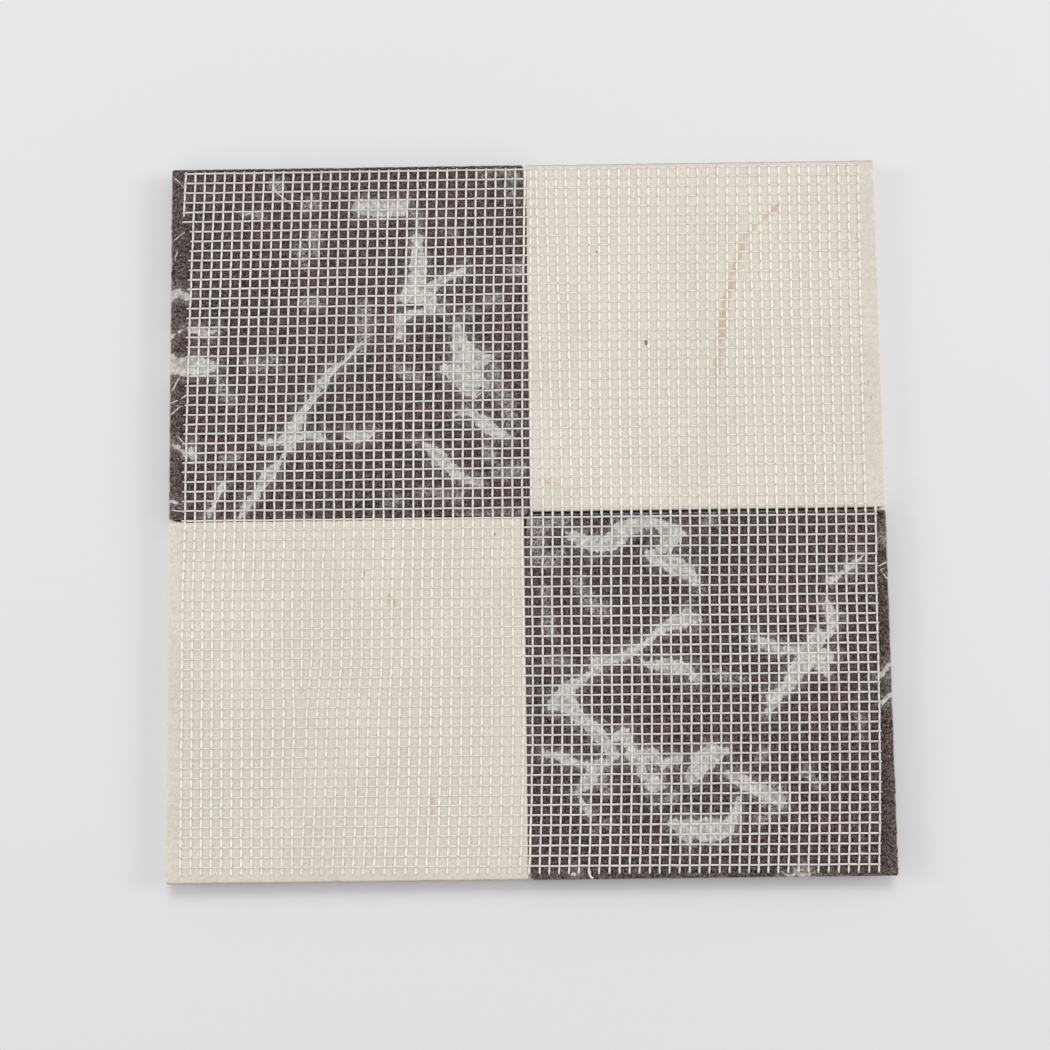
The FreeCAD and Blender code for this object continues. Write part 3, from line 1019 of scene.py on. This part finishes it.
def patch_threads(row, column):
    """Every thread run of one patch: (kind, number, low count, high count)."""
    warp_low, warp_high = WARP_CUTS[column], WARP_CUTS[column + 1]
    weft_low, weft_high = WEFT_CUTS[row], WEFT_CUTS[row + 1]
    weft_low = -BACK_TAIL if row == 0 else weft_low
    weft_high = WEFTS - 1 + FRONT_TAIL if row == PATCH_STEPS - 1 else weft_high
    threads = []
    for number in range(math.ceil(warp_low), math.floor(warp_high) + 1):
        span = inside_count(number, weft_low, weft_high)
        if span:
            threads += [("upper", number, *span), ("lower", number, *span)]
    for number in range(math.ceil(WEFT_CUTS[row]), math.floor(WEFT_CUTS[row + 1]) + 1):
        threads.append(("weft", number, warp_low, warp_high))
    return threads


def weft_ends(number, low, high):
    """Cut a weft that reaches the left or right edge of the net a little past its last warp."""
    down = number * WEFT_SPACING
    uneven = 0.6 * math.sin(2.3 * number) + 0.4 * math.sin(5.9 * number)
    if low == WARP_CUTS[0]:
        low = -1.2 if down < BROKEN_WARPS[-1][1] else -LEFT_TAIL - 0.1 * uneven
    if high == WARP_CUTS[-1]:
        last = LAST_WARP - 1 if down < BROKEN_WARPS[LAST_WARP][0] else LAST_WARP
        high = last + RIGHT_TAIL + 0.05 * uneven
    return low, high


def add_patch(row, column):
    """One patch of net as a single mesh."""
    name = "fibre_net_row%d_col%d" % (row + 1, column + 1)
    whole = bmesh.new()
    points, crossings, wefts, tones = [], [], [], []
    tubes = {}
    for kind, number, low, high in patch_threads(row, column):
        is_weft = kind == "weft"
        ends_low = low > WEFT_CUTS[row] if not is_weft else low == WARP_CUTS[0]
        ends_high = high != WEFT_CUTS[row + 1] if not is_weft else high == WARP_CUTS[-1]
        if is_weft:
            low, high = weft_ends(number, low, high)
        rings = max(2, round((high - low) * (WEFT_RINGS if is_weft else YARN_RINGS)))
        sides = WEFT_SIDES if is_weft else YARN_SIDES
        if (sides, rings) not in tubes:
            tubes[sides, rings] = straight_tube(sides, rings)
        tube = tubes[sides, rings]
        if is_weft:
            path = lambda count, n=number: weft_yarn(n, count)
        else:
            path = lambda count, n=number, k=kind: warp_yarn(n, k == "upper", count)
        moved, close = lay_thread(tube_points(tube), low, high, path, ends_low, ends_high)
        whole.from_mesh(tube)
        points.append(moved)
        crossings.append(close)
        wefts.append(np.full(len(moved), float(is_weft)))
        tones.append(np.full(len(moved), 0.5 + 0.5 * math.sin(12.9 * number + 4.1 * is_weft)))
    mesh = bpy.data.meshes.new("glass_" + name)
    whole.to_mesh(mesh)
    whole.free()
    for tube in tubes.values():
        bpy.data.meshes.remove(tube)
    points = np.concatenate(points)
    mesh.vertices.foreach_set("co", (points * MM).ravel())
    add_number(mesh, "on_cream", over_cream(points[:, 0], points[:, 1]))
    add_number(mesh, "crossing", np.concatenate(crossings))
    add_number(mesh, "weft", np.concatenate(wefts))
    add_number(mesh, "tone", np.concatenate(tones))
    mesh.materials.append(NET)
    mesh.shade_smooth()
    piece = bpy.data.objects.new("glass_" + name, mesh)
    bpy.context.scene.collection.objects.link(piece)
    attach(piece, "root")
    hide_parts(name)
    return piece


patches = [add_patch(row, column) for row in range(PATCH_STEPS) for column in range(PATCH_STEPS)]
triangles = [sum(len(face.vertices) - 2 for face in piece.data.polygons) for piece in patches]
print("net triangles", sum(triangles), "largest patch", max(triangles))

# %% [markdown]
# ## Loose fibres
# Two short fibres lie loose on the net, and the tail of one warp curls along the front edge.
# They are the same tube again. Each has half its width and a chain of spots read off the photo.

# %% Loose fibres
FIBRES = [
    (0.30, [(168.7, 160.8), (170.4, 162.1)]),
    (0.20, [(120.3, 136.4), (121.1, 141.7), (121.6, 145.0)]),
    (0.45, [(176.7, 301.2), (176.6, 302.2), (176.8, 303.3), (177.4, 304.0), (178.4, 304.4)]),
]
FIBRE_RINGS = 4


def fibre_path(half, chain, count):
    """Centre and half sizes of a loose fibre, by how many spots of its chain have been passed."""
    spots = np.arange(len(chain))
    right = np.interp(count, spots, [spot[0] for spot in chain])
    down = np.interp(count, spots, [spot[1] for spot in chain])
    x, y = on_sheet(right, down)
    size = np.full_like(x, half)
    return x, y, np.full_like(x, NET_TOP - 0.3), size, size * 0.5, size * 0.0


whole = bmesh.new()
fibre_points = []
for half, chain in FIBRES:
    links = len(chain) - 1
    tube = straight_tube(YARN_SIDES, links * FIBRE_RINGS)
    laid, _ = lay_thread(tube_points(tube), 0, links, lambda count, h=half, c=chain: fibre_path(h, c, count), True, True)
    fibre_points.append(laid)
    whole.from_mesh(tube)
    bpy.data.meshes.remove(tube)
fibre_mesh = bpy.data.meshes.new("glass_loose_fibres")
whole.to_mesh(fibre_mesh)
whole.free()
fibre_mesh.vertices.foreach_set("co", (np.concatenate(fibre_points) * MM).ravel())
add_number(fibre_mesh, "tone", np.full(len(fibre_mesh.vertices), 1.0))
fibre_mesh.materials.append(NET)
fibre_mesh.shade_smooth()
fibres = bpy.data.objects.new("glass_loose_fibres", fibre_mesh)
bpy.context.scene.collection.objects.link(fibres)
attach(fibres, "root")
print("loose fibres", len(FIBRES), "faces", len(fibre_mesh.polygons))

# %% [markdown]
# ## Floor and light
# The sheet lies on a plain pale floor in soft daylight. Most of the light comes from beyond its
# back edge, so the front edge has the dark shadow, and two weak side lights soften the rest.

# %% Floor
FLOOR_SIZE = 6.0

bm = bmesh.new()
bmesh.ops.create_grid(bm, x_segments=1, y_segments=1, size=FLOOR_SIZE / 2)
floor_mesh = bpy.data.meshes.new("floor")
bm.to_mesh(floor_mesh)
bm.free()
floor = bpy.data.objects.new("floor", floor_mesh)
bpy.context.scene.collection.objects.link(floor)
paint = Finish("floor_paint")
floor_mesh.materials.append(paint.set(Base_Color=colour(231, 231, 233), Roughness=0.9, Specular_IOR_Level=0.2))
print("floor", FLOOR_SIZE, "m across")


# %% Lights
def add_area_light(name, place, size, power):
    data = bpy.data.lights.new(name, "AREA")
    data.shape = "DISK"
    data.size = size
    data.energy = power
    lamp = bpy.data.objects.new(name, data)
    lamp.location = place
    lamp.rotation_euler = (-Vector(place)).to_track_quat("-Z", "Y").to_euler()
    bpy.context.scene.collection.objects.link(lamp)
    return lamp


add_area_light("window", (0.05, 1.7, 2.3), 1.2, 24.0)
add_area_light("left_fill", (-1.6, 0.15, 0.95), 0.8, 8.0)
add_area_light("right_fill", (1.6, 0.15, 0.95), 0.8, 9.5)

world = bpy.data.worlds.new("daylight")
bpy.context.scene.world = world
world.use_nodes = True
sky = world.node_tree.nodes["Background"]
sky.inputs["Color"].default_value = (1.0, 1.0, 1.0, 1.0)
sky.inputs["Strength"].default_value = 0.5
bpy.context.scene.view_settings.view_transform = "Standard"
